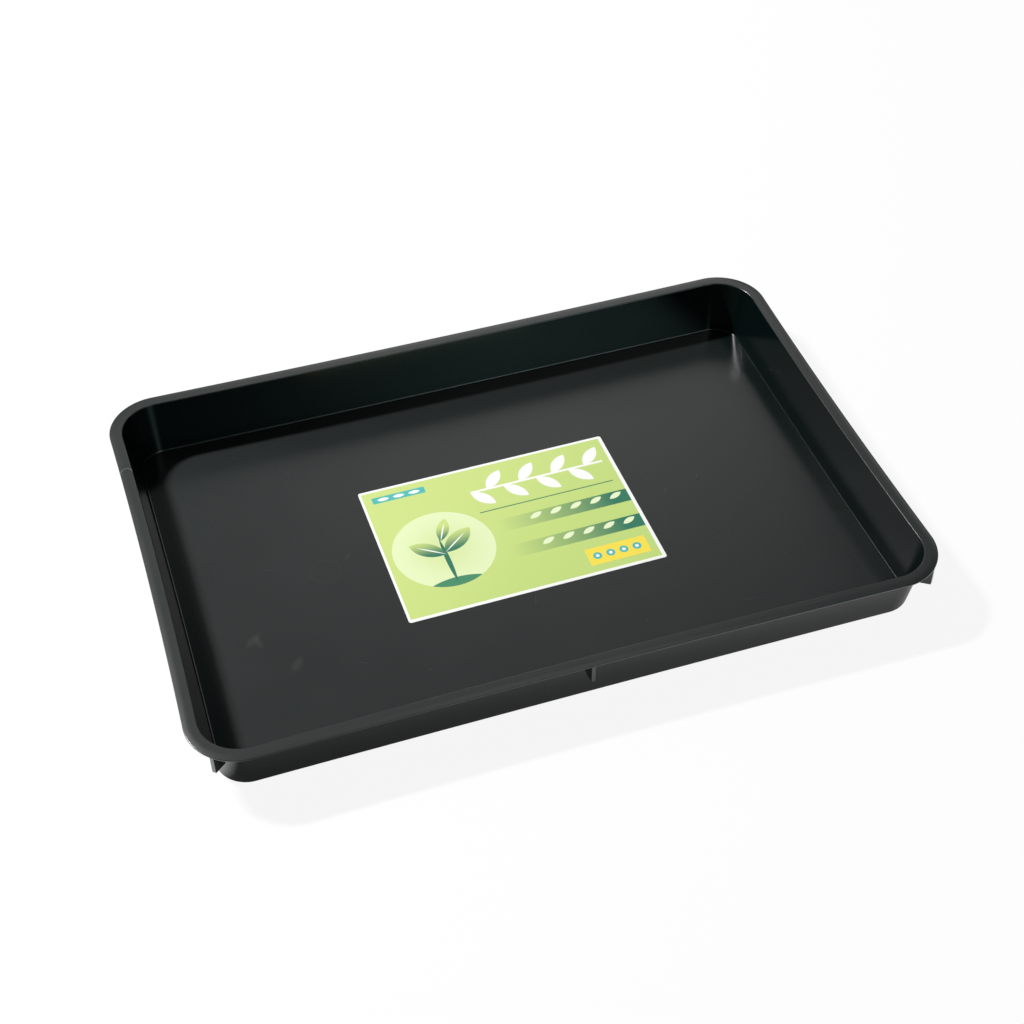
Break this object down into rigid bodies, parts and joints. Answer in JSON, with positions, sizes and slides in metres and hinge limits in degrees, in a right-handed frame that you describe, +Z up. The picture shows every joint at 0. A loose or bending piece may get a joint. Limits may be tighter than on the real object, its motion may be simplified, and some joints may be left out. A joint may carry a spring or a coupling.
{
  "type": "potting soil tray",
  "caption": "Shallow rectangular moulded plastic tray with a flat flanged rim, rounded corners, stacking webs under the rim and a paper label on its floor.",
  "frame": {"origin": "under the middle of the tray, on the surface that it stands on", "axes": "+X along the long side, +Y along the short side, +Z up"},
  "size_m": [0.57, 0.39, 0.0475],
  "materials": {
    "tray_plastic": "smooth moulded gloss, lightly scuffed",
    "label_paper": "printed satin label"
  },
  "bodies": {
    "root": {"tray": "tray_plastic", "label": "label_paper"}
  },
  "joints": []
}
